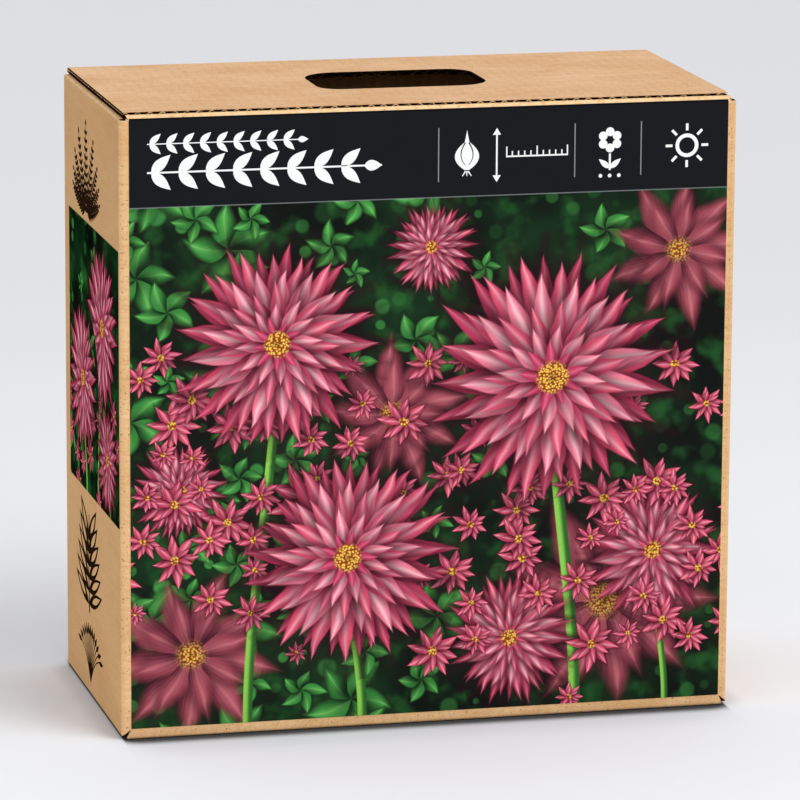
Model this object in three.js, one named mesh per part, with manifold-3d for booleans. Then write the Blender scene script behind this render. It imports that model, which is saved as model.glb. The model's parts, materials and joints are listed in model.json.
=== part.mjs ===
// Corrugated cardboard carton with a hand hole in its lid, empty and closed.
//
// Units are millimetres, +Z is up. The origin is the middle of the underside. The wide
// printed face is the front and looks along -Y, and +X is to the right of someone facing it.
//
// The real carton is one creased blank. Each panel and flap between two creases is a solid
// of its own here, so that the flaps can turn on their creases.

import * as THREE from 'three';
import { mergeVertices } from 'three/addons/utils/BufferGeometryUtils.js';
import Module from 'manifold-3d';

// ---- Driving dimensions -------------------------------------------------------------

const WIDTH = 330;              // outside, along X
const DEPTH = 160;              // outside, along Y
const HEIGHT = 332;             // outside, to the top of the lid
const BOARD = 3;                // thickness of the B-flute board
const CLEARANCE = 0.3;          // running gap round everything that moves

const FOLD_RADIUS = 3;          // outer radius of the four upright folds
const BASE_RADIUS = 2.5;        // outer radius of the folds at the bottom
const SHOULDER_RADIUS = 2;      // outer radius of the folds at the top of three walls
const FRONT_DROP = 1.5;         // how far the front's fold stays below the top of the lid
const END_DROP = 3.6;           // the same at the two ends, whose flaps fold in first
const SLOT_WIDTH = 3.5;         // slot between two flaps, seen at each corner
const SLOT_DEPTH = 2.5;         // how far the slot cuts into the upright fold

const HOLE_LENGTH = 92;         // hand hole in the middle of the lid, along X
const HOLE_WIDTH = 57;          // the same, along Y
const HOLE_CORNER = 18;         // radius of its corners

const LID_CORNER = 1;           // radius of the lid's two free corners
const FRONT_FLAP_LENGTH = 43.5; // inner flap under the lid's front edge
const DUST_FLAP_LENGTH = 70;    // inner flaps at the two ends
const FLAP_INSET = 3;           // how much narrower an inner flap is, on each side
const FLAP_CORNER = 6;          // radius of an inner flap's free corners
const BASE_SEAM = 1;            // gap where the two outer bottom flaps meet

const TAB_WIDTH = 30;           // glued side seam, inside the back panel
const TAB_INSET = 12;           // the tab stops this far short of top and bottom

const SHEET = 0.25;             // printed paper laminated to the board
const FRONT_SHEET = { left: -160, right: 160, bottom: 6, top: 328 };
const SIDE_SHEET = { front: -76, back: 64, bottom: 112.5, top: 259 };

const ARC_STEPS = 6;            // straight pieces in a quarter round

// ---- Values worked out from them ----------------------------------------------------

const X = WIDTH / 2;
const Y = DEPTH / 2;
const INNER_X = X - BOARD;
const INNER_Y = Y - BOARD;
const FRONT_TOP = HEIGHT - FRONT_DROP;
const END_TOP = HEIGHT - END_DROP;
const LID_Z = HEIGHT - BOARD;                           // underside of the lid
const FRONT_FLAP_Z = LID_Z - CLEARANCE - BOARD;         // underside of the front inner flap
const DUST_FLAP_Z = FRONT_FLAP_Z - CLEARANCE - BOARD;   // underside of the dust flaps

// ---- Shapes -------------------------------------------------------------------------

const manifold = await Module();
manifold.setup();

// A rectangle whose corners are rounded by radii in the order
// low-low, high-low, high-high, low-high (first axis, then second).
function roundedRectangle(left, bottom, right, top, radii) {
  const [r0, r1, r2, r3] = radii;
  const shape = new THREE.Shape();
  shape.moveTo(left + r0, bottom);
  shape.lineTo(right - r1, bottom);
  if (r1 > 0) shape.absarc(right - r1, bottom + r1, r1, -Math.PI / 2, 0, false);
  shape.lineTo(right, top - r2);
  if (r2 > 0) shape.absarc(right - r2, top - r2, r2, 0, Math.PI / 2, false);
  shape.lineTo(left + r3, top);
  if (r3 > 0) shape.absarc(left + r3, top - r3, r3, Math.PI / 2, Math.PI, false);
  shape.lineTo(left, bottom + r0);
  if (r0 > 0) shape.absarc(left + r0, bottom + r0, r0, Math.PI, 1.5 * Math.PI, false);
  return shape;
}

function polygon(points) {
  return new THREE.Shape(points.map(([a, b]) => new THREE.Vector2(a, b)));
}

// Carries a point of an extrusion (drawn in u and v, extruded along w) into the carton's axes.
const PLANES = {
  xy: (u, v, w, low) => [u, v, low + w],
  yz: (u, v, w, low) => [low + w, u, v],
  xz: (u, v, w, low, high) => [u, high - w, v],
};

// A prism with the given outline in one plane, from low to high along the third axis.
function prism(shape, plane, low, high) {
  const geometry = new THREE.ExtrudeGeometry(shape, {
    depth: high - low,
    bevelEnabled: false,
    curveSegments: ARC_STEPS,
  });
  const position = geometry.getAttribute('position');
  for (let i = 0; i < position.count; i += 1) {
    const w = position.getZ(i);
    const [x, y, z] = PLANES[plane](position.getX(i), position.getY(i), w, low, high);
    position.setXYZ(i, x, y, z);
  }
  return toSolid(geometry);
}

function toSolid(geometry) {
  geometry.deleteAttribute('normal');
  geometry.deleteAttribute('uv');
  const merged = mergeVertices(geometry);
  return new manifold.Manifold(new manifold.Mesh({
    numProp: 3,
    vertProperties: new Float32Array(merged.getAttribute('position').array),
    triVerts: new Uint32Array(merged.getIndex().array),
  }));
}

function toGeometry(solid) {
  const mesh = solid.getMesh();
  const geometry = new THREE.BufferGeometry();
  geometry.setAttribute('position', new THREE.BufferAttribute(mesh.vertProperties, 3));
  geometry.setIndex(new THREE.BufferAttribute(mesh.triVerts, 1));
  geometry.computeVertexNormals();
  return geometry;
}

function box(x0, y0, z0, x1, y1, z1) {
  return prism(roundedRectangle(x0, y0, x1, y1, [0, 0, 0, 0]), 'xy', z0, z1);
}

// ---- Walls --------------------------------------------------------------------------

// The outside of the whole carton: upright folds, and the folds at the front's and back's
// top and bottom edges.
function outerForm() {
  const plan = roundedRectangle(-X, -Y, X, Y, Array(4).fill(FOLD_RADIUS));
  const profile = roundedRectangle(
    -Y, 0, Y, FRONT_TOP,
    [BASE_RADIUS, BASE_RADIUS, SHOULDER_RADIUS, SHOULDER_RADIUS],
  );
  return prism(plan, 'xy', 0, HEIGHT).intersect(prism(profile, 'yz', -X, X));
}

// Front or back panel, seen from the front: square, with a slot let into each top corner.
// It carries the upright folds at both its ends.
function longPanel(yLow, yHigh, top) {
  const slotX = X - SLOT_WIDTH;
  const slotZ = top - SLOT_DEPTH;
  const outline = polygon([
    [-X, 0], [X, 0],
    [X, slotZ], [slotX, slotZ], [slotX, top],
    [-slotX, top], [-slotX, slotZ], [-X, slotZ],
  ]);
  return prism(outline, 'xz', yLow, yHigh).intersect(outerForm());
}

// End panel between the long panels. It stands on the outer bottom flaps, so its own
// bottom fold is one board up.
function endPanel(side) {
  const outer = side * X;
  const inner = side * INNER_X;
  const low = Math.min(outer, inner);
  const high = Math.max(outer, inner);
  const radii = side < 0
    ? [BASE_RADIUS, 0, 0, SHOULDER_RADIUS]
    : [0, BASE_RADIUS, SHOULDER_RADIUS, 0];
  const profile = roundedRectangle(low, BOARD, high, END_TOP, radii);
  return prism(profile, 'xz', -INNER_Y, INNER_Y);
}

function glueTab() {
  return box(
    INNER_X - TAB_WIDTH, INNER_Y - BOARD, TAB_INSET,
    INNER_X, INNER_Y, HEIGHT - TAB_INSET,
  );
}

// ---- Bottom, folded and glued -------------------------------------------------------

function outerBottomFlap(side) {
  const seam = side * BASE_SEAM / 2;
  const wall = side * INNER_Y;
  return box(
    -INNER_X, Math.min(seam, wall), 0,
    INNER_X, Math.max(seam, wall), BOARD,
  );
}

function innerBottomFlap(side) {
  const wall = side * INNER_X;
  const free = side * (INNER_X - DUST_FLAP_LENGTH);
  return box(
    Math.min(wall, free), FLAP_INSET - INNER_Y, BOARD,
    Math.max(wall, free), INNER_Y - FLAP_INSET, 2 * BOARD,
  );
}

// ---- Top flaps ----------------------------------------------------------------------

// The lid folds over from the back panel and drops between the other three walls.
function lidFlap() {
  const side = INNER_X - CLEARANCE;
  const front = CLEARANCE - INNER_Y;
  const middle = (front + Y) / 2;
  const plan = roundedRectangle(-side, front, side, Y, [LID_CORNER, LID_CORNER, 0, 0]);
  plan.holes.push(roundedRectangle(
    -HOLE_LENGTH / 2, middle - HOLE_WIDTH / 2, HOLE_LENGTH / 2, middle + HOLE_WIDTH / 2,
    Array(4).fill(HOLE_CORNER),
  ));
  const profile = roundedRectangle(front, LID_Z, Y, HEIGHT, [0, 0, FOLD_RADIUS, 0]);
  return prism(plan, 'xy', LID_Z, HEIGHT).intersect(prism(profile, 'yz', -side, side));
}

function frontInnerFlap() {
  const side = INNER_X - FLAP_INSET;
  const wall = CLEARANCE - INNER_Y;
  const plan = roundedRectangle(
    -side, wall, side, wall + FRONT_FLAP_LENGTH,
    [0, 0, FLAP_CORNER, FLAP_CORNER],
  );
  return prism(plan, 'xy', FRONT_FLAP_Z, FRONT_FLAP_Z + BOARD);
}

function dustFlap(side) {
  const wall = side * (INNER_X - CLEARANCE);
  const free = side * (INNER_X - CLEARANCE - DUST_FLAP_LENGTH);
  const radii = side < 0
    ? [0, FLAP_CORNER, FLAP_CORNER, 0]
    : [FLAP_CORNER, 0, 0, FLAP_CORNER];
  const plan = roundedRectangle(
    Math.min(wall, free), FLAP_INSET - INNER_Y,
    Math.max(wall, free), INNER_Y - FLAP_INSET,
    radii,
  );
  return prism(plan, 'xy', DUST_FLAP_Z, DUST_FLAP_Z + BOARD);
}

// ---- Printed sheets, laminated flat on the panels -----------------------------------

function longSheet(side) {
  const { left, right, bottom, top } = FRONT_SHEET;
  const low = side < 0 ? -Y - SHEET : Y;
  return box(left, low, bottom, right, low + SHEET, top);
}

// The two ends carry the same sheet, each turned half round the carton's middle.
function endSheet(side) {
  const { front, back, bottom, top } = SIDE_SHEET;
  const low = side < 0 ? -X - SHEET : X;
  const edges = side < 0 ? [front, back] : [-back, -front];
  return box(low, edges[0], bottom, low + SHEET, edges[1], top);
}

// ---- Assembly -----------------------------------------------------------------------

const KRAFT = { color: 0xc79a67, roughness: 0.92, metalness: 0 };
const KRAFT_INSIDE = { color: 0xb98c5c, roughness: 0.95, metalness: 0 };
const PRINT = { color: 0x16302b, roughness: 0.55, metalness: 0 };

const carton = new THREE.Group();

function add(name, solid, finish) {
  const mesh = new THREE.Mesh(toGeometry(solid), new THREE.MeshStandardMaterial(finish));
  mesh.name = name;
  carton.add(mesh);
}

add('front_panel', longPanel(-Y, -INNER_Y, FRONT_TOP), KRAFT);
add('back_panel', longPanel(INNER_Y, Y, LID_Z - CLEARANCE), KRAFT);
add('left_panel', endPanel(-1), KRAFT);
add('right_panel', endPanel(1), KRAFT);
add('glue_tab', glueTab(), KRAFT_INSIDE);

add('bottom_front_flap', outerBottomFlap(-1), KRAFT);
add('bottom_back_flap', outerBottomFlap(1), KRAFT);
add('bottom_left_flap', innerBottomFlap(-1), KRAFT_INSIDE);
add('bottom_right_flap', innerBottomFlap(1), KRAFT_INSIDE);

add('lid_flap', lidFlap(), KRAFT);
add('front_inner_flap', frontInnerFlap(), KRAFT_INSIDE);
add('left_dust_flap', dustFlap(-1), KRAFT_INSIDE);
add('right_dust_flap', dustFlap(1), KRAFT_INSIDE);

add('front_print_sheet', longSheet(-1), PRINT);
add('back_print_sheet', longSheet(1), PRINT);
add('left_print_sheet', endSheet(-1), PRINT);
add('right_print_sheet', endSheet(1), PRINT);

export default carton;
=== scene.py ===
"""Looks for the corrugated carton: folded board, printed sheets, camera, floor and light.

Lengths are millimetres in the carton's own frame until a piece is made, which turns them into
metres. Every wall has a plane of its own, (u, v, w): u runs to the right and v upward for
someone facing the wall from outside, and w is the distance outward from its face.
"""

import json
import math

import bmesh
import bpy
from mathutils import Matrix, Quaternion, Vector
from mathutils.geometry import tessellate_polygon


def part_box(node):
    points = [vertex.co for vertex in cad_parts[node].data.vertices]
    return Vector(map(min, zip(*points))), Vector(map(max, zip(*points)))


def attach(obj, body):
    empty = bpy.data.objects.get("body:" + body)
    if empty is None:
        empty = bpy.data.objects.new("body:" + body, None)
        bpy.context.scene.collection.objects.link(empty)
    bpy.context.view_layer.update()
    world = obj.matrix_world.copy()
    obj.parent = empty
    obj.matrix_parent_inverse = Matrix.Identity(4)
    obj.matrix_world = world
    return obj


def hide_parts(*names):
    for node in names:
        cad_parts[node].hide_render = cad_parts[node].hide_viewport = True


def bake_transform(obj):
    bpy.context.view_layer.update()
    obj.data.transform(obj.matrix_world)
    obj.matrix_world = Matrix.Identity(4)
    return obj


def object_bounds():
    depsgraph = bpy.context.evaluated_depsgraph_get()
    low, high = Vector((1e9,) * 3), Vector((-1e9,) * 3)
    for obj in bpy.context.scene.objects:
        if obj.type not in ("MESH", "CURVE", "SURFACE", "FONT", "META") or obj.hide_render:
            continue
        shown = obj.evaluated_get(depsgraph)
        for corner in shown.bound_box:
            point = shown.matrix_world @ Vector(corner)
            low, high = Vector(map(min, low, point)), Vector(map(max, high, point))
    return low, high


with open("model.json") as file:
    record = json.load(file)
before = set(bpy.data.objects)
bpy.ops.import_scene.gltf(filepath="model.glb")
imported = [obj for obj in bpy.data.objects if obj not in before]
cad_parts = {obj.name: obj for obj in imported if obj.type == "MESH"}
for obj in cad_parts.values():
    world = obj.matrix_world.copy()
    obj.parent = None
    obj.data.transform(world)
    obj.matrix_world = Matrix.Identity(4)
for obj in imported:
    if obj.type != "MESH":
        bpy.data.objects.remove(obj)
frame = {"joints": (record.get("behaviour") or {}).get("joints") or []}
cad_low, cad_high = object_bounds()

# ---- Sizes taken from the frame, in millimetres ----

METRE = 1000.0
TAU = 2 * math.pi


def node_box(node):
    """Lowest and highest corner of a CAD node, in millimetres."""
    low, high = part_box(node)
    return low * METRE, high * METRE


LID_LOW, LID_HIGH = node_box("lid_flap")
FRONT_LOW, FRONT_HIGH = node_box("front_panel")
BACK_HIGH = node_box("back_panel")[1]
LEFT_LOW, LEFT_HIGH = node_box("left_panel")
TAB_LOW, TAB_HIGH = node_box("glue_tab")
SHEET_LOW, SHEET_HIGH = node_box("front_print_sheet")
SIDE_LOW, SIDE_HIGH = node_box("left_print_sheet")
HINGES = {joint["name"]: Vector(joint["pos_m"]) * METRE for joint in frame["joints"]}

HALF_X = FRONT_HIGH.x
HALF_Y = -FRONT_LOW.y
BOARD = FRONT_HIGH.y - FRONT_LOW.y
INNER_X = HALF_X - BOARD
INNER_Y = HALF_Y - BOARD
LID_TOP = LID_HIGH.z
REAR_LIMIT = cad_high.y * METRE
LID_HINGE_Z = HINGES["lid_hinge"].z

# ---- The board's make-up and the carton's folds ----

LINER = 0.35            # paper on each face of the board
FLUTING = 0.55          # paper of the wave between them
FLUTE_PITCH = 6.468     # one wave of B flute
FLUTE_STEPS = 12        # straight pieces in one wave
FLUTES_BACK = 0.15      # how far behind the liners' edges the fluting stops

UPRIGHT_RADIUS = 3.0    # outer radius of the folds between the walls
BASE_RADIUS = 1.8
END_RADIUS = 1.2        # the end walls' lower edges, which stop above the outer flaps
END_OVERHANG = 1.4      # how far those edges reach down past the outer flaps' upper face
END_SHOULDER = 1.6
SHOULDER_RADIUS = 2.0
REAR_RADIUS = 2.4       # the lid's fold onto the back wall
FLAP_CORNER = 6.0       # rounding of the inner flaps' free corners
ROUND_STEPS = 8         # straight pieces in a quarter round
CIRCLE_STEPS = 28       # and in a printed circle

SLOT_WIDTH = 3.5        # slot between two top flaps, open at each upper corner
SLOT_DEPTH = 2.5
HOLE_LENGTH, HOLE_WIDTH = 93.0, 58.0
HOLE_CORNERS = (12.0, 18.0, 14.0, 20.0)     # by hand: no two are quite alike
HOLE_MIDDLE = (LID_LOW.y + LID_HIGH.y) / 2 + 1.5
LID_LEAN = -1.0         # the lid lies a little to the left of the walls

PRINT_FOOT = SHEET_LOW.z
PRINT_TOP = SHEET_HIGH.z
PRINT_HALF = SHEET_HIGH.x
HEADER_FOOT = 282.3     # where the dark band across the top of the long print begins
HEADER_RIM = 1.0        # how far that band's ink runs on over the wall's top fold
HEADER_TONES = ("0E1013", "15181C")
INK = 0.05              # how far printed marks stand out of what they are printed on
SHEET = FRONT_LOW.y - SHEET_LOW.y - INK

# Where a board's faces get their materials from: places in its piece's material list.
# Faces inside the board and in its cuts and front slots take a near-black painted shade.
OUTER, INNER, HOLLOW, CUT = range(4)

# ---- Outlines ----


def arc(x, y, radius, start, end, steps=ROUND_STEPS):
    """Points on an arc, from start to end degrees."""
    angles = [math.radians(start + (end - start) * i / steps) for i in range(steps + 1)]
    return [(x + radius * math.cos(a), y + radius * math.sin(a)) for a in angles]


def circle(x, y, radius):
    return arc(x, y, radius, 0, 360, CIRCLE_STEPS)[:-1]


def rounded_rectangle(left, low, right, high, radii=(0, 0, 0, 0)):
    """Anticlockwise outline. The radii belong to the corners from the low left one on."""
    corners = [(left, low, 1, 1, 180), (right, low, -1, 1, 270),
               (right, high, -1, -1, 0), (left, high, 1, -1, 90)]
    outline = []
    for (x, y, inward_x, inward_y, start), r in zip(corners, radii):
        if r > 0:
            outline += arc(x + inward_x * r, y + inward_y * r, r, start, start + 90)
        else:
            outline.append((x, y))
    return outline


def stroke(points, start_width, end_width=None):
    """Outline of a line drawn through points, tapering from one width to the other."""
    end_width = start_width if end_width is None else end_width
    line = [Vector(p) for p in points]
    left, right = [], []
    for i, point in enumerate(line):
        along = (line[min(i + 1, len(line) - 1)] - line[max(i - 1, 0)]).normalized()
        half = (start_width + (end_width - start_width) * i / (len(line) - 1)) / 2
        across = Vector((-along.y, along.x)) * half
        left.append(tuple(point + across))
        right.append(tuple(point - across))
    return right + left[::-1]


def curve(start, control, end, steps=10):
    """Points on a curve from start to end that leans towards control."""
    a, b, c = Vector(start), Vector(control), Vector(end)
    places = [i / steps for i in range(steps + 1)]
    return [tuple(a * (1 - t) ** 2 + b * 2 * t * (1 - t) + c * t * t) for t in places]


def leaf(base, tip, width, steps=8):
    """Outline of a pointed leaf, widest a little nearer its base."""
    base, tip = Vector(base), Vector(tip)
    along = tip - base
    across = Vector((-along.y, along.x)).normalized() * width / 2
    spread = [math.sin(math.pi * (i / steps) ** 0.8) for i in range(1, steps)]
    right = [tuple(base + along * i / steps - across * s) for i, s in enumerate(spread, 1)]
    left = [tuple(base + along * i / steps + across * s) for i, s in enumerate(spread, 1)]
    return [tuple(base)] + right + [tuple(tip)] + left[::-1]


def shrunk(outline, distance):
    """The outline drawn in by a distance, or out by a negative one."""
    points = [Vector(p) for p in outline]
    turning = sum(a.x * b.y - a.y * b.x for a, b in zip(points, points[1:] + points[:1]))
    side = 1 if turning > 0 else -1
    moved = []
    for i, point in enumerate(points):
        before = (point - points[i - 1]).normalized()
        after = (points[(i + 1) % len(points)] - point).normalized()
        inward = Vector((-before.y - after.y, before.x + after.x)).normalized() * side
        lean = inward.dot(Vector((-before.y, before.x)) * side)
        moved.append(tuple(point + inward * distance / max(lean, 0.3)))
    return moved


def polar(middle, radius, degrees):
    """The point at a distance and direction from another."""
    angle = math.radians(degrees)
    return (middle[0] + radius * math.cos(angle), middle[1] + radius * math.sin(angle))


# ---- Planes that outlines are drawn in ----


def from_above(u, v, w):
    return Vector((u, v, w))


def from_the_right(u, v, w):
    """Y to the right and Z up, w along X."""
    return Vector((w, u, v))


def from_the_front(u, v, w):
    """X to the right and Z up, w along Y."""
    return Vector((u, w, v))


def front_wall(u, v, w):
    return Vector((u, -HALF_Y - w, v))


def back_wall(u, v, w):
    return Vector((-u, HALF_Y + w, v))


def left_wall(u, v, w):
    return Vector((-HALF_X - w, -u, v))


def right_wall(u, v, w):
    return Vector((HALF_X + w, u, v))


# ---- Solids ----


def prism(outline, low, high, plane=from_above, holes=(), material=OUTER, edge=None,
          far_end=None):
    """A closed solid with an outline, and holes in it, between two distances.

    edge names another material for its sides, and far_end one for its end at high.
    """
    solid = bmesh.new()
    loops = [outline, *holes]
    rings = [[[solid.verts.new(plane(u, v, w)) for u, v in loop] for loop in loops]
             for w in (low, high)]
    for ring, end in zip(rings, (material, material if far_end is None else far_end)):
        points = [vert for loop in ring for vert in loop]
        corner_lists = [range(len(points))]
        if holes:
            flat = [[Vector((u, v, 0)) for u, v in loop] for loop in loops]
            corner_lists = tessellate_polygon(flat)
        for corners in corner_lists:
            face = solid.faces.new([points[i] for i in corners])
            face.material_index = end
    for below, above in zip(*rings):
        for i, vert in enumerate(below):
            j = (i + 1) % len(below)
            side = solid.faces.new((vert, below[j], above[j], above[i]))
            side.material_index = material if edge is None else edge
    bmesh.ops.recalc_face_normals(solid, faces=solid.faces)
    return solid


def mesh_of(name, solid):
    """A mesh of the solid, which is used up."""
    mesh = bpy.data.meshes.new(name)
    solid.to_mesh(mesh)
    solid.free()
    return mesh


def add_object(name, data):
    made = bpy.data.objects.new(name, data)
    bpy.context.scene.collection.objects.link(made)
    return made


def add_to(solid, *others):
    """Puts the other solids into the first one's mesh."""
    for other in others:
        mesh = mesh_of("part", other)
        solid.from_mesh(mesh)
        bpy.data.meshes.remove(mesh)
    return solid


def boolean(target, tool, operation="DIFFERENCE"):
    """Cuts, intersects or joins two solids. Cut faces take the tool's material."""
    objects = []
    for solid in (target, tool):
        mesh = mesh_of("part", solid)
        for _ in (OUTER, INNER, HOLLOW, CUT):
            mesh.materials.append(None)
        objects.append(add_object("part", mesh))
    cut = objects[0].modifiers.new("cut", "BOOLEAN")
    cut.operation = operation
    cut.object = objects[1]
    cut.solver = "EXACT"
    result = bmesh.new()
    result.from_object(objects[0], bpy.context.evaluated_depsgraph_get())
    for made in objects:
        mesh = made.data
        bpy.data.objects.remove(made)
        bpy.data.meshes.remove(mesh)
    return result


MERGE_DISTANCE = 0.0005
SHARP_ANGLE = 30        # degrees: edges between faces at more than this stay sharp


def piece(name, solid, materials, body, replaces=()):
    """Makes a solid in millimetres into a piece in metres that rides on a body, if any."""
    bmesh.ops.remove_doubles(solid, verts=solid.verts, dist=MERGE_DISTANCE)
    bmesh.ops.scale(solid, vec=(1 / METRE,) * 3, verts=solid.verts)
    mesh = mesh_of(name, solid)
    for material in materials:
        mesh.materials.append(material)
    mesh.shade_smooth()
    mesh.set_sharp_from_angle(angle=math.radians(SHARP_ANGLE))
    made = add_object(name, mesh)
    weighted = made.modifiers.new("flat faces stay flat", "WEIGHTED_NORMAL")
    weighted.keep_sharp = True
    if body:
        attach(made, body)
    if replaces:
        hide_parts(*replaces)
    return made


# ---- Corrugated board ----


def wave_sheet(outline, low, high, waves_along, plane):
    """Fluting that fills the outline's box, its waves following one another along u or v."""
    first = 0 if waves_along == "u" else 1
    span = [point[first] for point in outline]
    width = [point[1 - first] for point in outline]
    start, end = min(span), max(span)
    waves = max(1, round((end - start) / FLUTE_PITCH))
    swing = (high - low - FLUTING) / 2
    steps = waves * FLUTE_STEPS
    middle = [(start + (end - start) * i / steps,
               (low + high) / 2 + swing * math.sin(TAU * waves * i / steps))
              for i in range(steps + 1)]
    profile = [(a, w + FLUTING / 2) for a, w in middle]
    profile += [(a, w - FLUTING / 2) for a, w in reversed(middle)]
    solid = bmesh.new()
    rings = []
    for b in (min(width), max(width)):
        places = [plane(a, b, w) if first == 0 else plane(b, a, w) for a, w in profile]
        rings.append([solid.verts.new(place) for place in places])
    total = len(profile)
    for i in range(total):
        j = (i + 1) % total
        solid.faces.new((rings[0][i], rings[0][j], rings[1][j], rings[1][i]))
    for ring in rings:
        for i in range(steps):
            solid.faces.new((ring[i], ring[i + 1], ring[total - 2 - i], ring[total - 1 - i]))
    bmesh.ops.recalc_face_normals(solid, faces=solid.faces)
    # The fluting takes the near-black painted shade of the board's inside.
    for face in solid.faces:
        face.material_index = HOLLOW
    return solid


def fluting(outline, low, high, waves_along, plane=from_above, holes=()):
    """Fluting cut off a little behind the liners' edges and holes, with pale cut ends."""
    sheet = wave_sheet(outline, low, high, waves_along, plane)
    cutter = prism(shrunk(outline, FLUTES_BACK), low - 1, high + 1, plane, material=CUT)
    sheet = boolean(sheet, cutter, "INTERSECT")
    for hole in holes:
        wider = shrunk(hole, -FLUTES_BACK)
        cutter = prism(wider, low - 1, high + 1, plane, material=HOLLOW)
        sheet = boolean(sheet, cutter)
    return sheet


def corrugated(outline, low, high, waves_along, plane=from_above, flipped=False,
               edge=None):
    """A board of two liners with fluting between. Its outer liner is the high one."""
    upper, lower = (INNER, OUTER) if flipped else (OUTER, INNER)
    # The liners' faces towards the fluting take the painted shade.
    return add_to(
        prism(outline, high - LINER, high, plane, (), HOLLOW, edge or upper, upper),
        prism(outline, low, low + LINER, plane, (), lower, edge or lower, HOLLOW),
        fluting(outline, low + LINER, high - LINER, waves_along, plane))


# ---- Node trees written as arithmetic ----


def operator(operation, swapped=False):
    """A method that joins a field and another field or number by a Math node."""
    def method(self, other):
        values = (other, self) if swapped else (self, other)
        return self.paint.math(operation, *values)
    return method


class Field:
    """A number, vector or colour that varies over a surface: one socket of a material."""

    __add__ = __radd__ = operator("ADD")
    __sub__ = operator("SUBTRACT")
    __rsub__ = operator("SUBTRACT", swapped=True)
    __mul__ = __rmul__ = operator("MULTIPLY")
    __truediv__ = operator("DIVIDE")
    __rtruediv__ = operator("DIVIDE", swapped=True)
    __pow__ = operator("POWER")

    def __init__(self, paint, socket):
        self.paint = paint
        self.socket = socket

    def output(self, name):
        """Another output of the same node."""
        return Field(self.paint, self.socket.node.outputs[name])

    def __neg__(self):
        return self * -1.0

    def __abs__(self):
        return self.paint.math("ABSOLUTE", self)


def tone(code):
    """Linear colour from a six-figure sRGB code."""
    parts = [int(code[i:i + 2], 16) / 255 for i in (0, 2, 4)]
    linear = [c / 12.92 if c <= 0.04045 else ((c + 0.055) / 1.055) ** 2.4 for c in parts]
    return (*linear, 1.0)


class Paint:
    """One material. Its methods add nodes and return fields; lengths are millimetres."""

    # A Mix node's places for its two values and its result, by what it mixes.
    MIX_PLACES = {"FLOAT": (2, 3, 0), "VECTOR": (4, 5, 1), "RGBA": (6, 7, 2)}

    def __init__(self, name, roughness=0.6, specular=0.5):
        self.material = bpy.data.materials.new(name)
        self.material.use_nodes = True
        self.tree = self.material.node_tree
        self.tree.nodes.clear()
        output = self.tree.nodes.new("ShaderNodeOutputMaterial")
        self.shader = self.tree.nodes.new("ShaderNodeBsdfPrincipled")
        self.tree.links.new(self.shader.outputs[0], output.inputs["Surface"])
        self.shader.inputs["Roughness"].default_value = roughness
        self.shader.inputs["Specular IOR Level"].default_value = specular
        self.coat = None
        place = self.node("TexCoord", output="Object")
        self.place = self.vector("SCALE", place, scale=METRE)
        self.x, self.y, self.z = (self.part(self.place, axis) for axis in range(3))

    def plug(self, socket, value):
        """Links a field to a socket, or sets it to a number, a vector or a colour code."""
        if isinstance(value, Field):
            self.tree.links.new(value.socket, socket)
        else:
            socket.default_value = tone(value) if isinstance(value, str) else value

    def node(self, kind, inputs=None, output=0, **settings):
        made = self.tree.nodes.new("ShaderNode" + kind)
        for name, value in settings.items():
            setattr(made, name, value)
        for name, value in (inputs or {}).items():
            self.plug(made.inputs[name], value)
        return Field(self, made.outputs[output])

    def math(self, operation, *values):
        return self.node("Math", dict(enumerate(values)), operation=operation)

    def vector(self, operation, *values, scale=None):
        inputs = dict(enumerate(values))
        if scale is not None:
            inputs["Scale"] = scale
        output = "Value" if operation == "LENGTH" else "Vector"
        return self.node("VectorMath", inputs, output, operation=operation)

    def part(self, vector, axis):
        return self.node("SeparateXYZ", {0: vector}, axis)

    def combine(self, x, y, z=0.0):
        return self.node("CombineXYZ", {0: x, 1: y, 2: z})

    def step(self, value, low, high, first=0.0, last=1.0):
        """Rises smoothly from first to last as value goes from low to high."""
        inputs = {"Value": value, "From Min": low, "From Max": high,
                  "To Min": first, "To Max": last}
        return self.node("MapRange", inputs, interpolation_type="SMOOTHSTEP")

    def more(self, a, b):
        """1 where a is greater than b, otherwise 0."""
        return self.math("GREATER_THAN", a, b)

    def mix(self, share, a, b, kind="RGBA"):
        """Goes from a to b as share goes from 0 to 1."""
        first, second, output = self.MIX_PLACES[kind]
        return self.node("Mix", {0: share, first: a, second: b}, output, data_type=kind)

    def noise(self, place, grain, detail=2.0, roughness=0.5):
        """Cloudy noise from 0 to 1 whose patches are about grain millimetres across."""
        inputs = {"Vector": place, "Scale": 1 / grain, "Detail": detail,
                  "Roughness": roughness}
        return self.node("TexNoise", inputs)

    def cells(self, place, size, output="Distance", randomness=1.0, feature="F1"):
        """The sheet divided into cells about size millimetres across."""
        inputs = {"Vector": place, "Scale": 1 / size, "Randomness": randomness}
        return self.node("TexVoronoi", inputs, output, voronoi_dimensions="2D",
                         feature=feature)

    def chance(self, number):
        """A random number from 0 to 1 for each whole number."""
        return self.node("TexWhiteNoise", {"W": number}, noise_dimensions="1D")

    def lay(self, share, colour):
        """Paints a colour over what is there."""
        self.coat = self.mix(share, self.coat, colour)

    def rough(self, field):
        self.plug(self.shader.inputs["Roughness"], field)

    def relief(self, height, distance):
        """Bump whose height, from 0 to 1, stands for a distance in millimetres."""
        inputs = {"Strength": 1.0, "Distance": distance / METRE, "Height": height}
        self.plug(self.shader.inputs["Normal"], self.node("Bump", inputs))

    def done(self):
        self.plug(self.shader.inputs["Base Color"], self.coat)
        return self.material


# ---- Kraft paper ----

DARK_SPECK, PALE_SPECK = "6E4826", "F8E0B6"


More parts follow.
